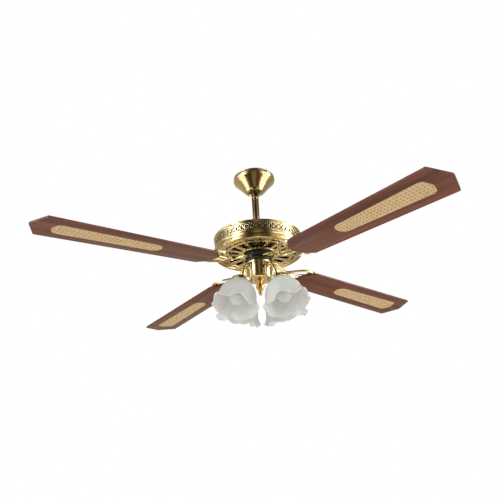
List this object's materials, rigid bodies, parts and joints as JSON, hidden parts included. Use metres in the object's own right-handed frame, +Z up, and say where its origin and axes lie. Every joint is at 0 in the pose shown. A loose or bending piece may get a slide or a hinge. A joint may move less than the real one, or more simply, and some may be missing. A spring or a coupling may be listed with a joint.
{
  "type": "ceiling fan with light",
  "caption": "Ceiling fan: pitched wooden blades with cane panels on a brass motor housing, hung by ball and downrod, with a cluster of ruffled frosted glass shades.",
  "frame": {"origin": "middle of the hanger bracket's top face, in the plane of the ceiling", "axes": "+Z up into the ceiling, +X along one blade at rest, +Y along the next blade anticlockwise from above"},
  "size_m": [1.3202, 1.3202, 0.4855],
  "materials": {
    "polished_brass": "polished, lacquered",
    "zinc_steel": "zinc plated",
    "laminated_steel": "laminated",
    "cast_aluminium": "cast",
    "black_moulding": "satin",
    "enamelled_copper": "enamelled wire, wound tight",
    "mahogany_veneer": "satin lacquer, straight grain",
    "woven_cane": "open weave",
    "frosted_glass": "frosted",
    "opal_glass": "opal"
  },
  "bodies": {
    "ceiling_mount": {"ceiling_bracket": "zinc_steel", "canopy": "polished_brass", "canopy_screw_1": "polished_brass", "canopy_screw_2": "polished_brass"},
    "hanger_pin": {"hanger_pin": "zinc_steel"},
    "hanging_frame": {"hanger_ball": "black_moulding", "downrod": "polished_brass", "motor_coupling": "zinc_steel", "coupling_pin": "zinc_steel", "coupling_cover": "polished_brass", "housing_top": "polished_brass", "housing_band": "polished_brass", "vent_plate": "polished_brass", "motor_shaft": "zinc_steel", "stator_core": "laminated_steel", "upper_winding": "enamelled_copper", "lower_winding": "enamelled_copper", "switch_plate": "zinc_steel", "switch_housing": "polished_brass", "reverse_switch": "black_moulding", "capacitor": "black_moulding", "finial": "polished_brass", "lamp_arm_1": "polished_brass", "lamp_arm_2": "polished_brass", "lamp_arm_3": "polished_brass", "lamp_arm_4": "polished_brass", "lamp_socket_1": "polished_brass", "lamp_socket_2": "polished_brass", "lamp_socket_3": "polished_brass", "lamp_socket_4": "polished_brass", "bulb_1": "opal_glass", "bulb_2": "opal_glass", "bulb_3": "opal_glass", "bulb_4": "opal_glass", "shade_1": "frosted_glass", "shade_2": "frosted_glass", "shade_3": "frosted_glass", "shade_4": "frosted_glass"},
    "rotor": {"rotor_shell_upper": "cast_aluminium", "rotor_shell_lower": "cast_aluminium", "rotor_cage": "laminated_steel", "upper_bearing": "zinc_steel", "lower_bearing": "zinc_steel", "flywheel": "black_moulding", "clamp_ring": "black_moulding", "blade_iron_1": "polished_brass", "blade_iron_2": "polished_brass", "blade_iron_3": "polished_brass", "blade_iron_4": "polished_brass", "blade_1": "mahogany_veneer", "blade_2": "mahogany_veneer", "blade_3": "mahogany_veneer", "blade_4": "mahogany_veneer", "cane_panel_1": "woven_cane", "cane_panel_2": "woven_cane", "cane_panel_3": "woven_cane", "cane_panel_4": "woven_cane"},
    "reverse_knob": {"reverse_switch_knob": "black_moulding"}
  },
  "joints": [
    {"name": "hanger_swing_x", "type": "hinge", "parent": "ceiling_mount", "child": "hanger_pin", "pos_m": [0, 0, -0.04001], "axis": [1, 0, 0], "range_deg": [-15, 15]},
    {"name": "hanger_swing_y", "type": "hinge", "parent": "hanger_pin", "child": "hanging_frame", "pos_m": [0, 0, -0.04001], "axis": [0, 1, 0], "range_deg": [-15, 15]},
    {"name": "rotor_spin", "type": "hinge", "parent": "hanging_frame", "child": "rotor", "pos_m": [0, 0, -0.239], "axis": [0, 0, 1], "continuous": true},
    {"name": "reverse_slide", "type": "slide", "parent": "hanging_frame", "child": "reverse_knob", "axis": [0, 0, 1], "range_m": [-0.006, 0]}
  ]
}
